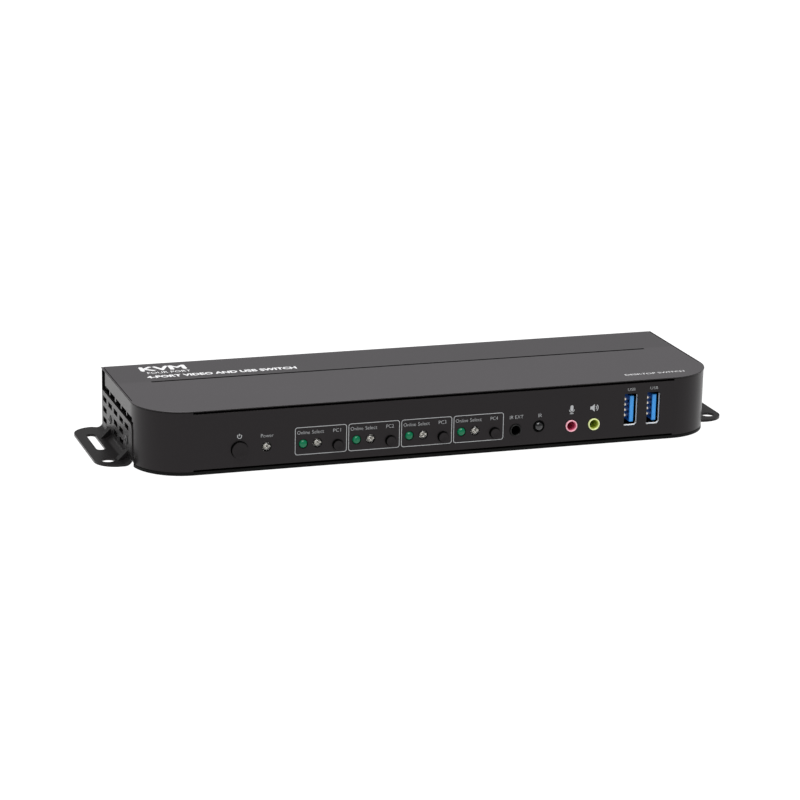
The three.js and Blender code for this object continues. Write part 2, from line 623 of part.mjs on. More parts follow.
function rearPanel() {
  const { frontY, rearY, halfWidth, flangeY, lowZ, highZ } = REAR;
  const plate = box(-halfWidth, halfWidth, frontY, rearY, lowZ, highZ);
  const flangeLow = BRACKET.topZ + BRACKET.clearance;
  const flanges = [-1, 1].map((side) => {
    const span = across(side, REAR.flangeX - REAR.flangeT, REAR.flangeX);
    return box(...span, flangeY, (frontY + rearY) / 2, flangeLow, highZ);
  });
  const y0 = frontY - OVERRUN;
  const y1 = rearY + OVERRUN;
  const opening = (x, spec) => {
    const shape = socketShape(
      x, SEAT_Z - PANEL_GAP, spec.halfWidth + PANEL_GAP, spec.height + 2 * PANEL_GAP, spec.chamfer,
    );
    return runBack(shape, y0, y1);
  };
  const square = (x, w, height) =>
    box(x - w - PANEL_GAP, x + w + PANEL_GAP, y0, y1, SEAT_Z - PANEL_GAP, SEAT_Z + height + PANEL_GAP);
  const openings = [
    opening(VIDEO_OUT_X, VIDEO),
    square(USB_STACK.x, USB_STACK.halfWidth, USB_STACK.height),
    square(TERMINAL.x, TERMINAL.halfWidth, TERMINAL.height),
    square(DC_JACK.x, DC_JACK.halfWidth, DC_JACK.height),
  ];
  for (let i = 0; i < PC_GROUP.count; i++) {
    const x = INPUT.firstX + i * INPUT.pitch;
    openings.push(opening(x + INPUT.videoX, VIDEO), opening(x + INPUT.usbX, USB_B));
  }
  for (const side of [-1, 1])
    openings.push(barY(side * REAR_SCREW.x, REAR_SCREW.z, REAR_SCREW.holeR, y0, y1));
  return cut(joined(plate, ...flanges), ...openings);
}

// ---- Board ----------------------------------------------------------------------------------------
function mainBoard() {
  const { halfWidth, frontY, rearY, lowZ, topZ } = BOARD;
  const chips = CHIPS.map(({ x, y, half, t }) =>
    box(x - half, x + half, y - half, y + half, (lowZ + topZ) / 2, topZ + t),
  );
  const [below, above] = [lowZ - OVERRUN, topZ + OVERRUN];
  const holes = [-POST.x, POST.x].flatMap((x) =>
    [POST.frontY, POST.rearY].map((y) => barZ(x, y, POST.holeR, below, above)),
  );
  const inside = raised(casePlan(SHELL.inset + SHELL.wall + GAP, CASE.depth), below, above);
  const sheet = box(-halfWidth, halfWidth, frontY, rearY, lowZ, topZ).intersect(inside);
  return cut(joined(sheet, ...chips), ...holes);
}

function heatsink() {
  const { x, y, half, lowZ, baseT, topZ, fins, finT } = HEATSINK;
  const base = box(x - half, x + half, y - half, y + half, lowZ, lowZ + baseT);
  const step = (2 * half - finT) / (fins - 1);
  const rows = Array.from({ length: fins }, (_, i) => {
    const fx = x - half + i * step;
    return box(fx, fx + finT, y - half, y + half, lowZ + baseT / 2, topZ);
  });
  return joined(base, ...rows);
}

// ---- Assembly -------------------------------------------------------------------------------------
place("top_cover", "cover", topCover());
place("front_shell", "shell", frontShell());
place("base_tray", "steel", baseTray());
place("rear_panel", "panel", rearPanel());
place("bracket_right", "steel", bracketRight());
place("bracket_left", "steel", mirrored(bracketRight()));
place("main_board", "board", mainBoard());
place("heatsink", "alloy", heatsink());

for (const [sideName, side] of [["left", -1], ["right", 1]]) {
  BRACKET_SCREW.y.forEach((y, i) => {
    place(`bracket_screw_${sideName}_${["front", "rear"][i]}`, "screw", bracketScrew(side, y));
  });
  place(`rear_screw_${sideName}`, "screw", rearScrew(side));
}

function placeControl(name, x, { z, r, collarR, frontY }) {
  place(`${name}_button`, "button", button(x, z, r, collarR, frontY));
  place(`${name}_plunger`, "white", plunger(x, z));
  place(`${name}_switch`, "black", switchBody(x, z));
}

placeControl("power", POWER_BUTTON.x, POWER_BUTTON);
place("power_lamp", "clear", lamp(LAMP.powerX, LAMP.z));

for (let i = 0; i < PC_GROUP.count; i++) {
  const x = PC_GROUP.firstX + i * PC_GROUP.pitch;
  placeControl(`select_${i + 1}`, x + PC_GROUP.button, SELECT_BUTTON);
  place(`online_lamp_${i + 1}`, "green", lamp(x + PC_GROUP.online, LAMP.z));
  place(`select_lamp_${i + 1}`, "clear", lamp(x + PC_GROUP.select, LAMP.z));
  const inputX = INPUT.firstX + i * INPUT.pitch;
  place(`video_in_${i + 1}`, "bright", socket(inputX + INPUT.videoX, VIDEO));
  place(`usb_in_${i + 1}`, "bright", socket(inputX + INPUT.usbX, USB_B));
}

place("ir_ext_jack", "black", jack(JACKS.ir_ext_jack));
place("mic_jack", "pink", jack(JACKS.mic_jack));
place("headphone_jack", "lime", jack(JACKS.headphone_jack));
place("ir_receiver", "black", irReceiver());
FRONT_USB.x.forEach((x, i) => {
  place(`front_usb_shell_${i + 1}`, "bright", frontUsbShell(x));
  place(`front_usb_tongue_${i + 1}`, "blue", frontUsbTongue(x));
});
place("video_out", "bright", socket(VIDEO_OUT_X, VIDEO));
place("rear_usb_stack", "bright", usbStack());
place("serial_terminal", "green", serialTerminal());
place("dc_jack", "black", dcJack());

export default product;
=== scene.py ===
"""Looks for the KVM switch: finished surfaces, lamps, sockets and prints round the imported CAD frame."""
import math

import bmesh
import bpy
from mathutils import Matrix, Vector


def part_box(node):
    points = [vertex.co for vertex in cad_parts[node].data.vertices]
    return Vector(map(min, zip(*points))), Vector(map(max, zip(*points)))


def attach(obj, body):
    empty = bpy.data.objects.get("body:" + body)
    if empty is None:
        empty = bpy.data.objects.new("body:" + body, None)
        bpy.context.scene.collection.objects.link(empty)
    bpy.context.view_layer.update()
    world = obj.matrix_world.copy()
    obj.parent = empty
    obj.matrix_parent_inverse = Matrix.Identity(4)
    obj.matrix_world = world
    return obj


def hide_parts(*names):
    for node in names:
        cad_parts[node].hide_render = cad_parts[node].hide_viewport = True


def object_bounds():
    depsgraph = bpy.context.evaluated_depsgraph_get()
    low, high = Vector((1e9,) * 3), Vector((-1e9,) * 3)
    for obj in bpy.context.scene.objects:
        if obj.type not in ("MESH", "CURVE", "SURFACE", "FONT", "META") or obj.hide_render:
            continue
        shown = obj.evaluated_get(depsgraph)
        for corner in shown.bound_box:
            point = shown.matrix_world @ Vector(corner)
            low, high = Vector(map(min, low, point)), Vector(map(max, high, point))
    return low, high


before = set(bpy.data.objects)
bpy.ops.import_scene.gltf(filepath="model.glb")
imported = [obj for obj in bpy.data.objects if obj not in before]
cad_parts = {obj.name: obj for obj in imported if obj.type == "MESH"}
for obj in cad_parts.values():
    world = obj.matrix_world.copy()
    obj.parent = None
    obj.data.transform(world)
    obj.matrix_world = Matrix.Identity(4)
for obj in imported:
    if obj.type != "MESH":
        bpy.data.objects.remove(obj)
CAD_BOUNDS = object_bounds()

MM = 0.001
CASE = "case"
GROUPS = range(1, 5)
PORTS = (1, 2)
CONTROLS = ["power"] + [f"select_{i}" for i in GROUPS]
ROUND = 40  # sides of a finished round
WELD = 2e-6
FLAT_ANGLE = math.radians(1.0)
EDGE_ANGLE = math.radians(34)
TINY = 1e-7
INK = 0.03 * MM  # how far a print stands off the surface

cover_low, cover_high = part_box("top_cover")
FACE_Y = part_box("front_shell")[0].y  # the front face
TOP_Z = cover_high.z
REAR_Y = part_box("rear_panel")[1].y
FLOOR_Z = CAD_BOUNDS[0].z


# ---- Small helpers --------------------------------------------------------------------------------
def middle(node):
    low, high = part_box(node)
    return (low + high) / 2


def piece_from(name, bm, material, body=CASE):
    """A new object from a bmesh, shaded smooth except over real edges, riding on a body."""
    bmesh.ops.recalc_face_normals(bm, faces=bm.faces)
    mesh = bpy.data.meshes.new(name)
    bm.to_mesh(mesh)
    bm.free()
    for polygon in mesh.polygons:
        polygon.use_smooth = True
    mesh.set_sharp_from_angle(angle=EDGE_ANGLE)
    piece = bpy.data.objects.new(name, mesh)
    bpy.context.scene.collection.objects.link(piece)
    mesh.materials.append(material)
    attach(piece, body)
    return piece


def bevelled(piece, width, segments=2):
    """Rounds every real edge of a piece, shades its flats as flats, and returns the modifier."""
    bevel = piece.modifiers.new("edges", "BEVEL")
    bevel.width = width
    bevel.segments = segments
    bevel.limit_method = "ANGLE"
    bevel.angle_limit = EDGE_ANGLE
    bevel.use_clamp_overlap = True
    normals = piece.modifiers.new("flats", "WEIGHTED_NORMAL")
    normals.keep_sharp = True
    return bevel


def finished(node, material, width, sharp=None, lower=0.0):
    """A finished copy of a CAD node: one clean skin with rounded edges, in place of the CAD one.
    Edges whose two ends pass the sharp test stay sharp; lower takes the ink's depth off the top."""
    bm = bmesh.new()
    bm.from_mesh(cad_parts[node].data)
    bmesh.ops.remove_doubles(bm, verts=bm.verts, dist=WELD)
    bmesh.ops.dissolve_limit(bm, angle_limit=FLAT_ANGLE, verts=bm.verts, edges=bm.edges)
    top = max(v.co.z for v in bm.verts)
    for v in bm.verts:
        if v.co.z > top - WELD:
            v.co.z -= lower
    weight = bm.edges.layers.float.new("bevel_weight_edge")
    for edge in bm.edges:
        kept = sharp is not None and sharp(*(v.co for v in edge.verts))
        edge[weight] = 0 if kept or edge.calc_face_angle(0) < EDGE_ANGLE else 1
    piece = piece_from(f"{node}_finish", bm, material)
    bevelled(piece, width).limit_method = "WEIGHT"
    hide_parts(node)
    return piece


def add_turned(bm, x, z, profile, sides=ROUND):
    """Adds a closed turned solid on an axis along y; profile points are (radius, y) in metres."""
    rings = []
    for r, y in profile:
        if r < TINY:
            rings.append([bm.verts.new((x, y, z))])
            continue
        ring = []
        for k in range(sides):
            a = 2 * math.pi * k / sides
            ring.append(bm.verts.new((x + r * math.cos(a), y, z + r * math.sin(a))))
        rings.append(ring)
    for low, high in zip(rings, rings[1:]):
        for k in range(sides):
            n = (k + 1) % sides
            corners = [low[k % len(low)], low[n % len(low)], high[n % len(high)], high[k % len(high)]]
            face = [v for i, v in enumerate(corners) if v not in corners[:i]]
            if len(face) > 2:
                bm.faces.new(face)


def add_box(bm, x0, x1, y0, y1, z0, z1):
    place = Matrix.Translation(((x0 + x1) / 2, (y0 + y1) / 2, (z0 + z1) / 2))
    size = Matrix.Diagonal((x1 - x0, y1 - y0, z1 - z0, 1))
    bmesh.ops.create_cube(bm, size=1, matrix=place @ size)


# ---- Materials ------------------------------------------------------------------------------------
GRAIN_SHARE = 0.45  # of a surface's variation; the rest is a slow drift
DRIFT_SCALE = 28
GLOSS_SPREAD = 0.07
LEAST_ROUGHNESS = 0.02
RELIEF = 0.25  # depth of the grain, as part of its size
COAT_ROUGHNESS = 0.12
EPOXY_IOR = 1.5


def grained(name, colour, roughness, grain_mm, bump, metallic=0.0, variation=0.12, coat=0.0, streak=None,
            specular=0.5, tint=(1, 1, 1)):
    """A surface with fine grain in its bump and roughness, and slow drift in its colour."""
    material = bpy.data.materials.new(name)
    material.use_nodes = True
    nodes, links = material.node_tree.nodes, material.node_tree.links
    shader = nodes["Principled BSDF"]
    shader.inputs["Metallic"].default_value = metallic
    shader.inputs["Specular IOR Level"].default_value = specular
    shader.inputs["Specular Tint"].default_value = (*tint, 1)
    shader.inputs["Coat Weight"].default_value = coat
    shader.inputs["Coat Roughness"].default_value = COAT_ROUGHNESS
    place = nodes.new("ShaderNodeTexCoord")
    stretch = nodes.new("ShaderNodeMapping")
    stretch.inputs["Scale"].default_value = streak or (1, 1, 1)
    links.new(place.outputs["Object"], stretch.inputs["Vector"])

    grain = nodes.new("ShaderNodeTexNoise")
    grain.inputs["Scale"].default_value = 1 / (grain_mm * MM)
    grain.inputs["Detail"].default_value = 2
    links.new(stretch.outputs["Vector"], grain.inputs["Vector"])
    drift = nodes.new("ShaderNodeTexNoise")
    drift.inputs["Scale"].default_value = DRIFT_SCALE
    drift.inputs["Detail"].default_value = 3
    links.new(place.outputs["Object"], drift.inputs["Vector"])

    mix = nodes.new("ShaderNodeMix")
    mix.data_type = "RGBA"
    low = [c * (1 - variation) for c in colour]
    high = [min(c * (1 + variation), 1) for c in colour]
    mix.inputs[6].default_value = (*low, 1)
    mix.inputs[7].default_value = (*high, 1)
    blend = nodes.new("ShaderNodeMath")
    blend.operation = "MULTIPLY_ADD"
    blend.inputs[1].default_value = GRAIN_SHARE
    links.new(grain.outputs["Fac"], blend.inputs[0])
    share = nodes.new("ShaderNodeMath")
    share.operation = "MULTIPLY"
    share.inputs[1].default_value = 1 - GRAIN_SHARE
    links.new(drift.outputs["Fac"], share.inputs[0])
    links.new(share.outputs[0], blend.inputs[2])
    links.new(blend.outputs[0], mix.inputs[0])
    links.new(mix.outputs[2], shader.inputs["Base Color"])

    gloss = nodes.new("ShaderNodeMapRange")
    gloss.inputs["To Min"].default_value = max(roughness - GLOSS_SPREAD, LEAST_ROUGHNESS)
    gloss.inputs["To Max"].default_value = roughness + GLOSS_SPREAD
    links.new(blend.outputs[0], gloss.inputs["Value"])
    links.new(gloss.outputs["Result"], shader.inputs["Roughness"])

    relief = nodes.new("ShaderNodeBump")
    relief.inputs["Strength"].default_value = bump
    relief.inputs["Distance"].default_value = grain_mm * MM * RELIEF
    links.new(grain.outputs["Fac"], relief.inputs["Height"])
    links.new(relief.outputs["Normal"], shader.inputs["Normal"])
    return material


def glowing(material, colour, strength):
    shader = material.node_tree.nodes["Principled BSDF"]
    shader.inputs["Emission Color"].default_value = (*colour, 1)
    shader.inputs["Emission Strength"].default_value = strength


def clear(name, colour, transmission, roughness, coat=0.3, specular=0.5, glow=0.0):
    """Moulded epoxy: clear or tinted, with a faint haze that drifts through it."""
    material = grained(name, colour, roughness, 0.8, 0.05, variation=0.08, coat=coat, specular=specular)
    shader = material.node_tree.nodes["Principled BSDF"]
    shader.inputs["Transmission Weight"].default_value = transmission
    shader.inputs["IOR"].default_value = EPOXY_IOR
    glowing(material, colour, glow)
    return material


# The lid's rear part, behind the engraved line, is a shade darker; the darkening along the line's two edges
# is painted shade.
LINE_Y = cover_low.y + 47 * MM
LINE_HALF = 110 * MM
RAMP_Y = LINE_Y - 0.7 * MM, LINE_Y + 2 * MM
REAR_SHADE = 0.86
EDGE_RAMP = 1.0 * MM, 0.75 * MM
EDGE_SHADE = 0.25


def ramp(nodes, links, value, start, stop, low, high):
    """A smooth change from low to high while a value goes from start to stop."""
    shade = nodes.new("ShaderNodeMapRange")
    shade.interpolation_type = "SMOOTHSTEP"
    for socket, number in zip(("From Min", "From Max", "To Min", "To Max"), (start, stop, low, high)):
        shade.inputs[socket].default_value = number
    links.new(value, shade.inputs["Value"])
    return shade.outputs["Result"]


def shaded_lid(material):
    """Darkens a material's colour behind the lid's engraved line, and paints shade along the line's edges.
    """
    nodes, links = material.node_tree.nodes, material.node_tree.links
    shader = nodes["Principled BSDF"]
    colour = shader.inputs["Base Color"].links[0].from_socket

    def result_of(operation, first, second=None):
        node = nodes.new("ShaderNodeMath")
        node.operation = operation
        links.new(first, node.inputs[0])
        if isinstance(second, float):
            node.inputs[1].default_value = second
        elif second:
            links.new(second, node.inputs[1])
        return node.outputs[0]

    place = nodes.new("ShaderNodeTexCoord")
    axes = nodes.new("ShaderNodeSeparateXYZ")
    links.new(place.outputs["Object"], axes.inputs["Vector"])
    across, along = axes.outputs["Y"], result_of("ABSOLUTE", axes.outputs["X"])
    rear = ramp(nodes, links, across, *RAMP_Y, 1, REAR_SHADE)
    away = result_of("ABSOLUTE", result_of("SUBTRACT", across, LINE_Y))
    beyond = result_of("GREATER_THAN", along, LINE_HALF)
    # Painted shade: the colour darkens along both edges of the engraved line.
    edges = result_of("MAXIMUM", ramp(nodes, links, away, *EDGE_RAMP, 1, EDGE_SHADE), beyond)
    scaled = nodes.new("ShaderNodeVectorMath")
    scaled.operation = "SCALE"
    links.new(colour, scaled.inputs["Vector"])
    links.new(result_of("MULTIPLY", rear, edges), scaled.inputs["Scale"])
    links.new(scaled.outputs["Vector"], shader.inputs["Base Color"])


WARM = (1, 0.92, 0.95)  # the tone of the black finishes' highlights

# Each finish: name, colour, roughness, size of the grain in mm, bump.
COVER = grained("satin_cover", (0.07, 0.0655, 0.07), 0.42, 0.35, 0.3)
SHELL = grained("moulded_shell", (0.0072, 0.0065, 0.0069), 0.3, 0.3, 0.2, specular=0.22, tint=WARM)
STEEL = grained("coated_steel", (0.01, 0.0093, 0.0096), 0.32, 0.4, 0.4, specular=0.2, tint=WARM)
TRAY = grained("tray_steel", (0.004, 0.004, 0.004), 0.5, 0.4, 0.3, specular=0.08)
PANEL = grained("rear_black", (0.005, 0.005, 0.005), 0.5, 0.4, 0.2, specular=0.06)
SCREW = grained("blackened_screw", (0.016, 0.016, 0.0165), 0.32, 0.25, 0.3, specular=0.6)
BOARD = grained("solder_mask", (0.004, 0.02, 0.009), 0.4, 0.5, 0.3, specular=0.2)
CHIP = grained("chip_black", (0.01, 0.01, 0.0105), 0.5, 0.2, 0.3, specular=0.2)
ALLOY = grained("anodised_alloy", (0.3, 0.31, 0.32), 0.35, 0.3, 0.2, metallic=0.9, streak=(1, 0.1, 1))
CAP = grained("button_cap", (0.0055, 0.005, 0.0052), 0.34, 0.25, 0.25, specular=0.22, tint=WARM)
# Deep black: the infrared ring's own colour; painted shade in the lid's groove and seams, on the caps'
# sides, inside the plated USB shells and in the IR EXT jack's bore; also the block behind each USB tongue.
BLACK_AND_SHADE = grained("deep_black_and_painted_shade", (0.0012, 0.0012, 0.0012), 0.5, 0.25, 0.2, specular=0.03)
WHITE = grained("white_nylon", (0.7, 0.7, 0.66), 0.45, 0.3, 0.2)
BLACK = grained("black_moulding", (0.004, 0.004, 0.004), 0.3, 0.3, 0.2, specular=0.3)
BRIGHT = grained("plated_shell", (0.72, 0.73, 0.75), 0.2, 0.3, 0.12, metallic=1.0, streak=(0.2, 1, 1))
CUP = grained("lamp_cup", (0.5, 0.49, 0.46), 0.25, 0.3, 0.12, metallic=0.9)
GOLD = grained("gold_contact", (1.0, 0.78, 0.42), 0.25, 0.15, 0.1, metallic=0.9)
SPRING = grained("spring_contact_painted_highlight", (1.0, 0.9, 0.68), 0.3, 0.15, 0.1, metallic=0.3)
# The rolled lip is real sheet; its lighter finish than the plated shell is a painted highlight.
LIP = grained("rolled_lip_painted_highlight", (0.8, 0.8, 0.79), 0.42, 0.3, 0.1, metallic=0.6, streak=(0.2, 1, 1))
BLUE = grained("blue_tongue", (0.02, 0.29, 0.76), 0.34, 0.25, 0.15, coat=0.2)
# Painted shade and light: the flank is a darker copy of the tongue's blue that also glows.
FLANK_BLUE_SHADE_AND_LIGHT = grained("blue_flank_painted_shade_and_light", (0.014, 0.1, 0.4), 0.4, 0.25, 0.15)
# Painted shade: flat darker blue patches where the tongue's grooves are.
GROOVE_BLUE_SHADE = grained("blue_groove_painted_shade", (0.003, 0.022, 0.11), 0.4, 0.25, 0.15)
PINK = grained("pink_moulding", (0.88, 0.42, 0.5), 0.3, 0.3, 0.1, coat=0.4)
# Painted shade: the pink and lime bores are darker copies of the rims' colours.
PINK_BORE_SHADE = grained("pink_bore_painted_shade", (0.62, 0.09, 0.19), 0.4, 0.3, 0.1)
LIME = grained("lime_moulding", (0.76, 0.84, 0.38), 0.3, 0.3, 0.1, coat=0.4)
LIME_BORE_SHADE = grained("lime_bore_painted_shade", (0.42, 0.5, 0.06), 0.4, 0.3, 0.1)
PRINT = grained("printed_ink", (0.42, 0.43, 0.44), 0.5, 0.15, 0.1, variation=0.06)
LID_PRINT = grained("lid_ink", (0.86, 0.86, 0.87), 0.5, 0.15, 0.1, variation=0.05)
TERMINAL = grained("terminal_green", (0.03, 0.3, 0.09), 0.38, 0.3, 0.15)
CLEAR = clear("clear_epoxy", (0.85, 0.84, 0.81), 0.95, 0.04, coat=0.0)
# Painted light: the green lens glows a little, standing in for light scattered inside the tinted epoxy.
GREEN = clear("green_epoxy", (0.002, 0.14, 0.06), 0.0, 0.2, coat=0.0, specular=0.3, glow=0.05)
SMOKE = clear("smoked_lens", (0.012, 0.012, 0.013), 0.2, 0.08)

shaded_lid(COVER)
# Painted light: the contacts glow as a painted highlight, and the tongue's flank glows as painted light
# thrown back from the plated shell.
glowing(SPRING, (1, 0.9, 0.68), 0.6)
glowing(FLANK_BLUE_SHADE_AND_LIGHT, (0.006, 0.035, 0.16), 0.3)


# ---- Case -----------------------------------------------------------------------------------------
SEAM_X = cover_high.x - 0.8 * MM  # the middle of the seams along the lid's sides
RISING = 0.5  # a face whose normal rises more than this is on top
# How far each kind of edge is rounded.
MOULDED_EDGE = 0.2 * MM
SHEET_EDGE = 0.15 * MM
HEAD_EDGE = 0.12 * MM
LOW_HEAD_EDGE = 0.08 * MM


def engraved(*corners):
    """Whether corners of the lid all lie on its engraved line, or on one of its seams."""
    on_line = all(abs(co.y - LINE_Y) < MM for co in corners)
    on_seam = all(abs(abs(co.x) - SEAM_X) < MM / 4 for co in corners)
    return on_line or on_seam and len({co.x > 0 for co in corners}) == 1


def case():
    lid = finished("top_cover", COVER, MOULDED_EDGE, sharp=engraved, lower=INK)
    # Painted shade: the lid's upright faces take the shell's darker finish, and the faces of its engraved
    # line and seams take the deep black.
    for extra in (SHELL, BLACK_AND_SHADE):
        lid.data.materials.append(extra)
    for face in lid.data.polygons:
        if engraved(*(lid.data.vertices[i].co for i in face.vertices)):
            face.material_index = 2
        elif face.normal.z < RISING:
            face.material_index = 1
    finished("front_shell", SHELL, MOULDED_EDGE)
    finished("base_tray", TRAY, SHEET_EDGE)
    finished("rear_panel", PANEL, SHEET_EDGE)
    for side in ("left", "right"):
        finished(f"bracket_{side}", STEEL, SHEET_EDGE)
        for end in ("front", "rear"):
            finished(f"bracket_screw_{side}_{end}", SCREW, LOW_HEAD_EDGE)
        finished(f"rear_screw_{side}", SCREW, HEAD_EDGE)


def inside():
    """Pieces that only show through the slots keep their CAD shape."""
    looks = {"main_board": BOARD, "heatsink": ALLOY}
    for name in CONTROLS:
        looks[f"{name}_plunger"] = WHITE
        looks[f"{name}_switch"] = CHIP
    for node, material in looks.items():
        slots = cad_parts[node].data.materials
        slots.clear()
        slots.append(material)


# ---- Front controls -------------------------------------------------------------------------------
RIM = 0.22 * MM  # the rounding of a cap's edge
DISH = ((0, 0.16), (0.4, 0.13), (0.7, 0.03))  # part of the cap's radius, depth in mm
CAP_BACK_Y = FACE_Y + 2.35 * MM
CAP_COLLAR = 0.7 * MM  # how far the collar reaches past the cap
CAP_COLLAR_T = 0.8 * MM
STEM_R = 1.4 * MM

LAMP_R = 1.8 * MM
LAMP_COLLAR_R = 2.2 * MM
LAMP_COLLAR_Y = 3.8 * MM  # this and the cup's place are behind the tip of the dome
LAMP_COLLAR_T = 1.6 * MM
CUP_PLACE = -0.25 * MM, 1.5 * MM  # beside the axis, behind the tip
CUP_PROFILE = ((0.3, 0.5), (0.75, 0), (0.9, 0), (0.6, 1.1), (0, 1.1), (0, 0.5), (0.3, 0.5))  # in mm
CUP_SIDES = 20
POSTS = ((-0.55, 0.05, 1.0), (0.7, 1.1, 0.2))  # left, right and front of each, in mm
POST_HALF = 0.25 * MM

JACK_RIM_R = 2.5 * MM
JACK_HOLE_R = 2.03 * MM
JACK_CROWN = 0.8  # the rim's rise, as part of half its width
JACK_BODY_Y = FACE_Y + 2.6 * MM
JACK_DEPTH = 4 * MM  # of the bore behind the rim's body
BORE_SKIN = 0.2 * MM
BORE_STEP = 0.55 * MM  # where the bore's painted shade starts

IR_DOME = 1.85 * MM, 1.45 * MM  # radius, height
IR_GAP = 0.08 * MM  # between the dome and its ring
IR_CROWN = 0.2 * MM
IR_RING_Y = FACE_Y - 0.25 * MM
IR_DEPTHS = 2 * MM, 2.8 * MM, 3 * MM  # backs of the dome and the ring, and front of the body

SMALL_ROUND = 32
HAIR = 0.1 * MM  # the least gap or skin


def spread(degrees, steps):
    return [math.radians(degrees * k / steps) for k in range(steps + 1)]


def dome(r, front, height, steps):
    """A quarter round from the axis out to a radius, as profile points."""
    return [(r * math.sin(a), front + height * (1 - math.cos(a))) for a in spread(90, steps)]


def crown(inner, outer, front, height, steps):
    """The half-round front of a ring, from its inner to its outer edge, as profile points."""
    mid, half = (inner + outer) / 2, (outer - inner) / 2
    return [(mid - half * math.cos(a), front + height * (1 - math.sin(a))) for a in spread(180, steps)]


def turned(name, x, z, profile, material, body=CASE, sides=ROUND, blocks=()):
    """A turned piece, with any boxes that belong to it."""
    bm = bmesh.new()
    add_turned(bm, x, z, profile, sides)
    for block in blocks:
        add_box(bm, *block)
    piece = piece_from(name, bm, material, body)
    return piece


def button(name):
    """A push cap with a slightly dished face and sides painted deep black as shade, on its collar and stem.
    """
    node = f"{name}_button"
    low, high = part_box(node)
    centre = (low + high) / 2
    collar = (high.x - low.x) / 2
    r = collar - CAP_COLLAR
    collar_end = CAP_BACK_Y + CAP_COLLAR_T
    profile = [(r * part, low.y + depth * MM) for part, depth in DISH]
    profile += [(r - RIM + out, y) for out, y in dome(RIM, low.y, RIM, 4)]
    profile += [
        (r, CAP_BACK_Y), (collar, CAP_BACK_Y), (collar, collar_end),
        (STEM_R, collar_end), (STEM_R, high.y), (0, high.y),
    ]
    piece = turned(f"{name}_cap", centre.x, centre.z, profile, CAP, f"{name}_key")
    piece.data.materials.append(BLACK_AND_SHADE)
    # Painted shade: the cap's sides and everything behind the front face take the deep black.
    for face in piece.data.polygons:
        out = math.hypot(face.center.x - centre.x, face.center.z - centre.z)
        face.material_index = 0 if out < r - RIM / 2 and face.center.y < FACE_Y else 1
    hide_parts(node)


def lamp(node, material):
    """A 3 mm lamp: a domed epoxy lens on its holder, and for a clear lens the metal cup and two posts
    inside it.
    """
    low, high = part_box(node)
    x = (low.x + high.x) / 2
    z = high.z - LAMP_COLLAR_R
    flange = low.y + LAMP_COLLAR_Y
    end = flange + LAMP_COLLAR_T
    profile = dome(LAMP_R, low.y, LAMP_R, 9)
    profile += [(LAMP_R, flange), (LAMP_COLLAR_R, flange), (LAMP_COLLAR_R, end), (0, end)]
    lens = turned(f"{node}_lens", x, z, profile, material, sides=SMALL_ROUND)
    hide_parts(node)

    if material is not CLEAR:
        return
    aside, back = CUP_PLACE
    cup_y = low.y + back
    cup = [(r * MM, cup_y + y * MM) for r, y in CUP_PROFILE]
    posts = [(x + x0 * MM, x + x1 * MM, cup_y + y * MM, flange, z - POST_HALF, z + POST_HALF)
             for x0, x1, y in POSTS]
    turned(f"{node}_posts", x + aside, z, cup, CUP, sides=CUP_SIDES, blocks=posts)


def jack(node, rim_material, bore_shade_material):
    """A 3.5 mm jack: a rounded rim round a deep bore, the bore coloured darker than the rim as painted
    shade.
    """
    low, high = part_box(node)
    x = (low.x + high.x) / 2
    z = low.z + JACK_RIM_R
    end = JACK_BODY_Y + JACK_DEPTH
    profile = crown(JACK_HOLE_R, JACK_RIM_R, low.y, JACK_CROWN * (JACK_RIM_R - JACK_HOLE_R) / 2, 12)
    profile += [(JACK_RIM_R, JACK_BODY_Y), (JACK_HOLE_R, JACK_BODY_Y), profile[0]]
    body = low.x, high.x, end + HAIR, high.y, low.z + HAIR, high.z
    rim = turned(f"{node}_rim", x, z, profile, rim_material, blocks=[body])
    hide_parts(node)

    outer = JACK_HOLE_R - BORE_SKIN / 10
    inner = outer - BORE_SKIN
    start = low.y + BORE_STEP
    bore = [(outer, start), (outer, end), (0, end), (0, end - HAIR), (inner, end - HAIR),
            (inner, start + BORE_SKIN), (outer, start)]
    # Painted shade: the bore is a darker copy of the rim's colour.
    turned(f"{node}_bore", x, z, bore, bore_shade_material, sides=SMALL_ROUND)


def ir_window():
    """The infrared receiver: a smoked dome in a black ring."""
    node = "ir_receiver"
    low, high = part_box(node)
    x = (low.x + high.x) / 2
    r = (high.x - low.x) / 2
    z = high.z - r
    dome_r, height = IR_DOME
    dome_y, ring_y, body_y = (FACE_Y + depth for depth in IR_DEPTHS)
    lens = dome(dome_r, low.y, height, 10) + [(dome_r, dome_y), (0, dome_y)]
    turned(f"{node}_dome", x, z, lens, SMOKE)
    inner = dome_r + IR_GAP
    profile = crown(inner, r, IR_RING_Y, IR_CROWN, 9)
    profile += [(r, ring_y), (inner, ring_y), profile[0]]
    body = low.x, high.x, body_y, high.y, low.z, high.z
    ring = turned(f"{node}_ring", x, z, profile, BLACK_AND_SHADE, blocks=[body])
    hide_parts(node)


# ---- Sockets --------------------------------------------------------------------------------------
USB_SHEET = 0.35 * MM
USB_CORNER = 0.9 * MM
USB_EDGE = 0.1 * MM
LIP_FOOT = 0.36 * MM  # how wide the lip shows at the bottom
LIP_RAIL = 0.24 * MM  # and on the right
LIP_Y = 0.02 * MM, 0.6 * MM  # the lip's outer and inner edges, behind the shell's front

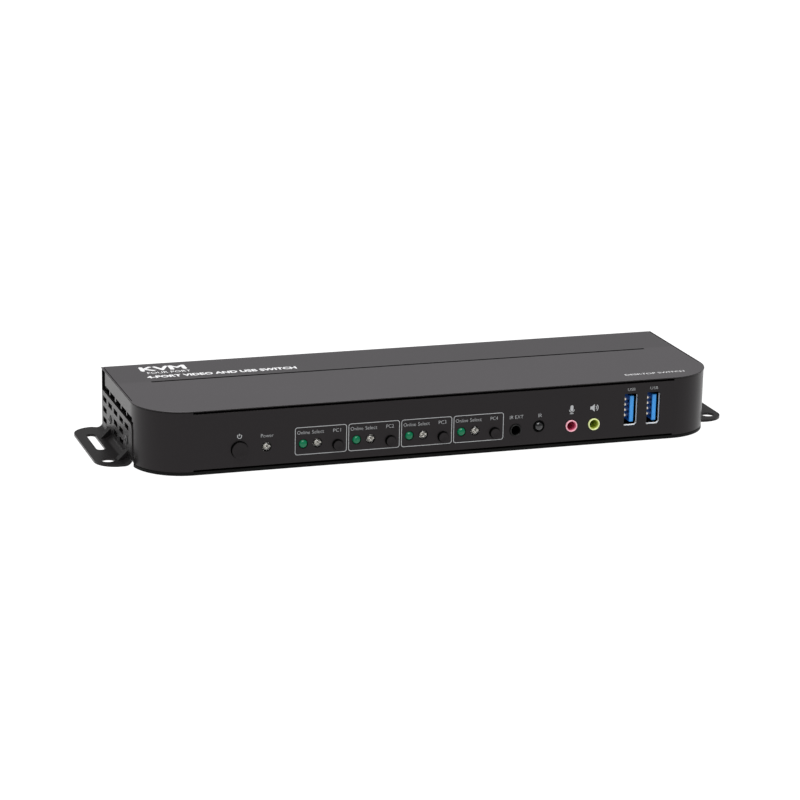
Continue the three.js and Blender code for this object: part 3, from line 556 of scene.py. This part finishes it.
TONGUE_X = -0.1 * MM, 1.75 * MM  # from the middle of the shell
TONGUE_HALF = 5.7 * MM
TONGUE_DEPTH = 10.6 * MM
TONGUE_ROOT = 0.5 * MM  # how far the tongue runs on behind that
TONGUE_EDGE = 0.3 * MM
BLOCK_EDGE = 0.2 * MM
SPRING_EDGE = 0.18 * MM
CONTACT_PITCH = 2.33 * MM
CONTACT_DROP = 0.4 * MM
# The boxes of a tongue's left side: their left and right from its edge, front and back from its tip,
# and half height, in mm.
FLANK = -0.05, 0.2, 0.35, 10.6, 5.53
FLANK_GROOVE = -0.09, 0.1, 0.5, 2.2, 0.55
SPRING_CONTACT = -0.6, -0.06, 4, 8.2, 0.4

SOCKET_EDGE = 0.16 * MM
SOCKET_FACE = 0.2 * MM  # what lies deeper than this is a socket's inside
PAD_SPAN = 0.3  # half the row of pads, as part of a socket's width
PAD_WIDTH = 0.9  # as part of the space for one
PAD_Y = 8 * MM, 0.95 * MM  # from the socket's rear end
PAD_Z = 0.7 * MM, 0.66 * MM  # below and above the middle


def usb_lip(i):
    """A plated shell, painted dark inside as shade, with its rolled lip along the right and the bottom in a
    lighter finish that paints a highlight.
    """
    node = f"front_usb_shell_{i}"
    low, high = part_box(node)
    x0, x1, z0, z1 = low.x + USB_SHEET, high.x - USB_SHEET, low.z + USB_SHEET, high.z - USB_SHEET
    shell = finished(node, BRIGHT, USB_EDGE)
    shell.data.materials.append(BLACK_AND_SHADE)
    # Painted shade: the shell's inside faces take the deep black.
    for face in shell.data.polygons:
        inside = x0 - WELD < face.center.x < x1 + WELD and z0 - WELD < face.center.z < z1 + WELD
        face.material_index = 1 if inside and face.center.y < high.y - USB_SHEET else 0

    front, back = (low.y + depth for depth in LIP_Y)
    turn_x, turn_z = x1 - USB_CORNER, z0 + USB_CORNER
    outer = [(x0, z0), (turn_x, z0), (x1, turn_z), (x1, z1)]
    inner = [
        (x0, z0 + LIP_FOOT), (turn_x - LIP_FOOT / 3, z0 + LIP_FOOT),
        (x1 - LIP_RAIL, turn_z + LIP_RAIL / 3), (x1 - LIP_RAIL, z1),
    ]
    bm = bmesh.new()
    rows = ((outer, front), (inner, back), (outer, back + USB_SHEET))
    loops = [[bm.verts.new((x, y, z)) for x, z in outline] for outline, y in rows]
    for a, b in zip(loops, loops[1:] + loops[:1]):
        for k in range(len(outer) - 1):
            bm.faces.new((a[k], a[k + 1], b[k + 1], b[k]))
    for end in (0, -1):
        bm.faces.new([loop[end] for loop in loops])
    # Painted highlight: the lip's lighter finish.
    lip = piece_from(f"{node}_lip", bm, LIP)


def boxes(name, material, blocks):
    """One piece made of boxes."""
    bm = bmesh.new()
    for block in blocks:
        add_box(bm, *block)
    piece = piece_from(name, bm, material)
    return piece


def front_usb(i):
    """An upright USB socket: a plated shell, a blue tongue and its sprung contacts."""
    usb_lip(i)
    node = f"front_usb_tongue_{i}"
    low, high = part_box(node)
    middle_z = (low.z + high.z) / 2
    x0, x1 = (middle(f"front_usb_shell_{i}").x + side for side in TONGUE_X)
    tip = low.y
    block_y = tip + TONGUE_DEPTH
    blade = x0, x1, tip, block_y + TONGUE_ROOT, middle_z - TONGUE_HALF, middle_z + TONGUE_HALF
    tongue = boxes(f"{node}_blade", BLUE, [blade])
    bevelled(tongue, TONGUE_EDGE, 3)
    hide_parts(node)
    body = low.x, high.x, block_y + TONGUE_ROOT + HAIR, high.y, low.z, high.z
    bevelled(boxes(f"{node}_block", BLACK_AND_SHADE, [body]), BLOCK_EDGE)

    def on_flank(spec, z):
        left, right, front, back, half = (number * MM for number in spec)
        return x0 + left, x0 + right, tip + front, tip + back, z - half, z + half

    rows = [middle_z - CONTACT_DROP + k * CONTACT_PITCH for k in (-1.5, -0.5, 0.5, 1.5)]
    # Painted shade and light: the flank is a darker, glowing copy of the tongue's blue.
    boxes(f"{node}_side", FLANK_BLUE_SHADE_AND_LIGHT, [on_flank(FLANK, middle_z)])
    # Painted shade: darker blue patches in place of the grooves' recesses.
    boxes(f"{node}_grooves", GROOVE_BLUE_SHADE, [on_flank(FLANK_GROOVE, z) for z in rows])
    springs = [on_flank(SPRING_CONTACT, z) for z in rows]
    # Painted highlight: the contacts glow.
    bevelled(boxes(f"{node}_contacts", SPRING, springs), SPRING_EDGE, 3)


def rear_socket(node, material, pads=0):
    """A rear socket with softened edges, and a row of gold pads on its tongue where it has one. Where its
    shell is plated it is black inside: painted shade on the plated walls, the plastic's own black on the
    tongue."""
    piece = finished(node, material, SOCKET_EDGE)
    # Painted shade: deeper than its face, a plated socket is black.
    piece.data.materials.append(BLACK if material is BRIGHT else material)
    for face in piece.data.polygons:
        face.material_index = 1 if face.center.y < REAR_Y - SOCKET_FACE else 0
    if not pads:
        return
    low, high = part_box(node)
    centre = (low + high) / 2
    span = (high.x - low.x) * PAD_SPAN
    half = span / pads * PAD_WIDTH / 2
    front, back = (high.y - depth for depth in PAD_Y)
    under, over = PAD_Z
    places = [centre.x + span * (2 * k / (pads - 1) - 1) for k in range(pads)]
    row = [(x - half, x + half, front, back, centre.z - under, centre.z + over) for x in places]
    boxes(f"{node}_pads", GOLD, row)


def rear_sockets():
    for i in GROUPS:
        rear_socket(f"video_in_{i}", BRIGHT, pads=9)
        rear_socket(f"usb_in_{i}", BRIGHT)
    rear_socket("video_out", BRIGHT, pads=9)
    rear_socket("rear_usb_stack", BRIGHT)
    rear_socket("serial_terminal", TERMINAL)
    rear_socket("dc_jack", BLACK)


# ---- Prints ---------------------------------------------------------------------------------------
FRONT_TURN = Matrix.Rotation(math.radians(90), 4, "X")
REAR_TURN = Matrix.Rotation(math.radians(180), 4, "Z") @ FRONT_TURN
TOP_TURN = Matrix.Identity(4)
CAPITAL = 0.7  # a capital's height, as part of the font's size

LABEL_Z = FLOOR_Z + 14.85 * MM
LABEL_HEIGHT = 1.5 * MM
USB_RISE = 1.5 * MM  # of the word above its socket
USB_HEIGHT = 1.2 * MM
LABEL_PARE = 0.015  # how far the front's strokes are pared down, as part of the font's size
OUTLINE = 3.5 * MM, 21.9 * MM, 1.1 * MM, 0.24 * MM  # left of the lamp, width, corner radius, line
OUTLINE_Z = FLOOR_Z + 5.46 * MM, FLOOR_Z + 17.1 * MM
# The symbols, in mm round their places.
POWER_Z = FLOOR_Z + 15.2 * MM
POWER_BAR = (-0.15, 0.1), (0.15, 0.1), (0.15, 1.1), (-0.15, 1.1)
MIC_Z = FLOOR_Z + 16 * MM
MIC_R = 0.68
MIC_STAND = (-0.14, -1.5), (0.14, -1.5), (0.14, -0.85), (-0.14, -0.85)
MIC_FOOT = (-0.8, -1.8), (0.8, -1.8), (0.8, -1.5), (-0.8, -1.5)
SPEAKER_Z = FLOOR_Z + 16.2 * MM
HORN = (-2, -0.65), (-1.2, -0.65), (-0.05, -1.65), (-0.05, 1.65), (-1.2, 0.65), (-2, 0.65)
WAVES = 0.85, 1.6
# The lid's lines: words, left, right, distance from the rear edge, height of a capital and boldness, in mm.
# They start at the left margin.
LID_LEFT = cover_low.x + 15 * MM
LID_LINES = {
    "lid_title": ("KVM", 0, 19, 8.2, 6, 0.4),
    "lid_model": ("FOUR PORT", 1.5, 20, 14.6, 2.6, 0),
    "lid_words": ("4-PORT VIDEO AND USB SWITCH", 0, 64, 20.8, 3.2, 0.2),
    "lid_note": ("DESKTOP SWITCH", 195, 222, 66.4, 1.9, 0),
}
REAR_HEIGHT = 1.6 * MM


def lettering(name, words, x, y, z, height, turn, width=None, pare=0.0):
    """A line of print, centred on a place. height is that of a capital; width squeezes the line to fit."""
    text = bpy.data.curves.new(name, "FONT")
    text.body = words
    text.align_x, text.align_y = "CENTER", "CENTER"
    text.extrude = 0.5
    text.offset = -pare
    text.resolution_u = 3
    source = bpy.data.objects.new(name, text)
    bpy.context.scene.collection.objects.link(source)
    bpy.context.view_layer.update()
    mesh = bpy.data.meshes.new_from_object(source.evaluated_get(bpy.context.evaluated_depsgraph_get()))
    bpy.data.objects.remove(source)
    xs = [v.co.x for v in mesh.vertices]
    ys = [v.co.y for v in mesh.vertices]
    tall = height / CAPITAL
    wide = width / (max(xs) - min(xs)) if width else tall
    shift = Matrix.Translation((-(max(xs) + min(xs)) / 2, -(max(ys) + min(ys)) / 2, 0))
    size = Matrix.Diagonal((wide, tall, INK, 1))
    mesh.transform(Matrix.Translation((x, y, z)) @ turn @ size @ shift)
    printed(name, mesh)


def printed(name, mesh):
    """A mesh as a print, in the ink of the lid or of the front and rear."""
    on_lid = name.startswith("lid")
    mesh.materials.clear()
    mesh.materials.append(LID_PRINT if on_lid else PRINT)
    piece = bpy.data.objects.new(name, mesh)
    bpy.context.scene.collection.objects.link(piece)
    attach(piece, CASE)


def printed_from(name, bm):
    bmesh.ops.recalc_face_normals(bm, faces=bm.faces)
    mesh = bpy.data.meshes.new(name)
    bm.to_mesh(mesh)
    bm.free()
    printed(name, mesh)


def flat_print(name, outlines, x, z):
    """Flat closed outlines [(x, z), ...] in millimetres round a place on the front face."""
    bm = bmesh.new()
    for outline in outlines:
        front = [bm.verts.new((x + px * MM, FACE_Y - INK, z + pz * MM)) for px, pz in outline]
        back = [bm.verts.new((x + px * MM, FACE_Y - INK / 4, z + pz * MM)) for px, pz in outline]
        bm.faces.new(front)
        bm.faces.new(back[::-1])
        for k in range(len(front)):
            n = (k + 1) % len(front)
            bm.faces.new((front[n], front[k], back[k], back[n]))
    printed_from(name, bm)


def circle_points(cx, cz, r, start, stop, steps):
    angles = [math.radians(start + (stop - start) * k / steps) for k in range(steps + 1)]
    return [(cx + r * math.cos(a), cz + r * math.sin(a)) for a in angles]


def band(cx, cz, r, thick, start, stop, steps=14):
    """A stretch of ring as an outline."""
    outer = circle_points(cx, cz, r + thick / 2, start, stop, steps)
    return outer + circle_points(cx, cz, r - thick / 2, stop, start, steps)


def frame_outline(name, x0, x1, z0, z1, r, line):
    """A thin rounded rectangle drawn on the front face."""
    corners = (x1 - r, z1 - r), (x0 + r, z1 - r), (x0 + r, z0 + r), (x1 - r, z0 + r)
    front, back = FACE_Y - INK, FACE_Y - INK / 4
    bm = bmesh.new()
    loops = []
    for inset, y in ((0, front), (line, front), (line, back), (0, back)):
        points = []
        for quarter, (cx, cz) in enumerate(corners):
            points += circle_points(cx, cz, r - inset, 90 * quarter, 90 * quarter + 90, 6)
        loops.append([bm.verts.new((px, y, pz)) for px, pz in points])
    count = len(loops[0])
    for a, b in zip(loops, loops[1:] + loops[:1]):
        for k in range(count):
            n = (k + 1) % count
            bm.faces.new((a[k], a[n], b[n], b[k]))
    printed_from(name, bm)


def label(name, words, x, width, nudge=0.0, drop=0.0, z=LABEL_Z, height=LABEL_HEIGHT):
    """A word on the front, with its width and its steps right and down from its place in mm."""
    place = x + nudge * MM, FACE_Y - INK / 2, z - drop * MM
    lettering(name, words, *place, height, FRONT_TURN, width * MM, LABEL_PARE)


def front_prints():
    label("power_label", "Power", middle("power_lamp").x, 5.2, nudge=0.2, drop=0.1)
    left, width, corner, line = OUTLINE
    for i in GROUPS:
        online = middle(f"online_lamp_{i}").x
        select = middle(f"select_lamp_{i}").x
        press = middle(f"select_{i}_button").x
        low_x = online - left
        frame_outline(f"group_{i}_outline", low_x, low_x + width, *OUTLINE_Z, corner, line)
        label(f"online_label_{i}", "Online", online, 5.3, nudge=0.1)
        label(f"select_label_{i}", "Select", select, 5, nudge=0.2)
        label(f"pc_label_{i}", f"PC{i}", press, 3.2, nudge=-0.35)
    label("ir_ext_label", "IR EXT", middle("ir_ext_jack").x, 5.9, nudge=0.3, drop=0.2)
    label("ir_label", "IR", middle("ir_receiver").x, 1.6, nudge=0.4, drop=0.2)
    for i in PORTS:
        low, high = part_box(f"front_usb_shell_{i}")
        label(f"usb_label_{i}", "USB", (low.x + high.x) / 2, 3.4, z=high.z + USB_RISE, height=USB_HEIGHT)

    power = band(0, 0, 0.85, 0.3, 125, 415, 22)
    flat_print("power_symbol", [power, POWER_BAR], middle("power_button").x, POWER_Z)
    capsule = circle_points(0, 1.3, MIC_R, 0, 180, 10) + circle_points(0, 0.1, MIC_R, 180, 360, 10)
    cradle = band(0, 0.1, 1.1, 0.3, 180, 360)
    flat_print("mic_symbol", [capsule, cradle, MIC_STAND, MIC_FOOT], middle("mic_jack").x, MIC_Z)
    waves = [band(-0.1, 0, r, 0.34, -50, 50, 10) for r in WAVES]
    flat_print("speaker_symbol", [HORN, *waves], middle("headphone_jack").x + 0.2 * MM, SPEAKER_Z)


def lid_prints():
    """Plain words where a maker would print its own. A bold line is struck again to each side of
    itself, each strike a hair below the last."""
    z = TOP_Z - INK / 2
    for name, (words, *numbers) in LID_LINES.items():
        left, right, back, height, bold = (number * MM for number in numbers)
        x = LID_LEFT + (left + right) / 2
        y = cover_high.y - back
        strikes = ((0, 0), (bold, 0), (-bold, 0), (0, bold), (0, -bold)) if bold else ((0, 0),)
        for k, (dx, dy) in enumerate(strikes):
            place = x + dx, y + dy, z - k * INK / 8
            lettering(f"{name}_{k}", words, *place, height, TOP_TURN, right - left)


def rear_prints():
    places = {f"rear_pc_{i}": (f"PC {i}", (f"video_in_{i}", f"usb_in_{i}"), 20.6) for i in GROUPS}
    places["rear_display"] = "DISPLAY", ("video_out",), 15
    places["rear_usb"] = "USB", ("rear_usb_stack",), 24
    places["rear_serial"] = "SERIAL", ("serial_terminal",), 16
    places["rear_dc"] = "DC IN", ("dc_jack",), 20
    for name, (words, nodes, height) in places.items():
        x = sum(middle(node).x for node in nodes) / len(nodes)
        lettering(name, words, x, REAR_Y + INK / 2, FLOOR_Z + height * MM, REAR_HEIGHT, REAR_TURN)


# ---- Stage ----------------------------------------------------------------------------------------
# The photograph's view: a long lens, a little above the lid and off to the left.
CAMERA_TURN = -18.606, 15.901, 1.175  # azimuth, elevation and roll in degrees
CAMERA_TARGET = Vector((-17.63 * MM, -37.5 * MM, 25.69 * MM))
CAMERA_REACH = 1124.637 * MM
CAMERA_LENS, CAMERA_SENSOR = 124.41, 36
CAMERA_CLIP = 0.01, 20

WORLD_LIGHT = 0.3
FLOOR_HALF = 6.0
FLOOR_DROP = 0.05 * MM
FLOOR_GREY = 0.12
FLOOR_GLOW = 1.02
SUN_POWER, SUN_ANGLE = 3.0, math.radians(50)
SUN_TURN = math.radians(12), math.radians(-8), 0
KEY_PLACE = Vector((-0.7, -0.6, 1.3))
KEY_SIZE, KEY_POWER = 0.9, 2


def placed(name, data):
    """A camera or lamp as an object of the scene."""
    thing = bpy.data.objects.new(name, data)
    bpy.context.scene.collection.objects.link(thing)
    return thing


def camera():
    azimuth, elevation, roll = (math.radians(a) for a in CAMERA_TURN)
    back = Vector((
        math.sin(azimuth) * math.cos(elevation),
        -math.cos(azimuth) * math.cos(elevation),
        math.sin(elevation),
    ))
    right = (-back).cross(Vector((0, 0, 1))).normalized()
    up = right.cross(-back)
    right, up = (
        math.cos(roll) * right + math.sin(roll) * up,
        -math.sin(roll) * right + math.cos(roll) * up,
    )
    data = bpy.data.cameras.new("camera")
    data.lens, data.sensor_width = CAMERA_LENS, CAMERA_SENSOR
    data.clip_start, data.clip_end = CAMERA_CLIP
    eye = placed("camera", data)
    turn = Matrix((right, up, back)).transposed().to_4x4()
    eye.matrix_world = Matrix.Translation(CAMERA_TARGET + back * CAMERA_REACH) @ turn
    bpy.context.scene.camera = eye


def stage():
    world = bpy.data.worlds.new("studio")
    bpy.context.scene.world = world
    world.use_nodes = True
    sky = world.node_tree.nodes["Background"]
    sky.inputs["Color"].default_value = (1, 1, 1, 1)
    sky.inputs["Strength"].default_value = WORLD_LIGHT

    bm = bmesh.new()
    bmesh.ops.create_grid(bm, x_segments=4, y_segments=4, size=FLOOR_HALF)
    mesh = bpy.data.meshes.new("floor")
    bm.to_mesh(mesh)
    bm.free()
    floor = placed("floor", mesh)
    floor.location.z = FLOOR_Z - FLOOR_DROP
    paper = grained("lit_floor", (FLOOR_GREY,) * 3, 0.8, 4, 0.05, variation=0.01, specular=0.0)
    glowing(paper, (1, 1, 1), FLOOR_GLOW)
    mesh.materials.append(paper)

    overhead = bpy.data.lights.new("overhead", "SUN")
    overhead.energy = SUN_POWER
    overhead.angle = SUN_ANGLE
    placed("overhead", overhead).rotation_euler = SUN_TURN
    softbox = bpy.data.lights.new("key", "AREA")
    softbox.size = KEY_SIZE
    softbox.energy = KEY_POWER
    key = placed("key", softbox)
    key.location = KEY_PLACE
    key.rotation_euler = (-KEY_PLACE).to_track_quat("-Z", "Y").to_euler()
    bpy.context.scene.view_settings.view_transform = "Standard"


case()
inside()
for control in CONTROLS:
    button(control)
lamp("power_lamp", CLEAR)
for group in GROUPS:
    lamp(f"online_lamp_{group}", GREEN)
    lamp(f"select_lamp_{group}", CLEAR)
jack("ir_ext_jack", BLACK, BLACK_AND_SHADE)
jack("mic_jack", PINK, PINK_BORE_SHADE)
jack("headphone_jack", LIME, LIME_BORE_SHADE)
ir_window()
for port in PORTS:
    front_usb(port)
rear_sockets()
front_prints()
lid_prints()
rear_prints()
camera()
stage()
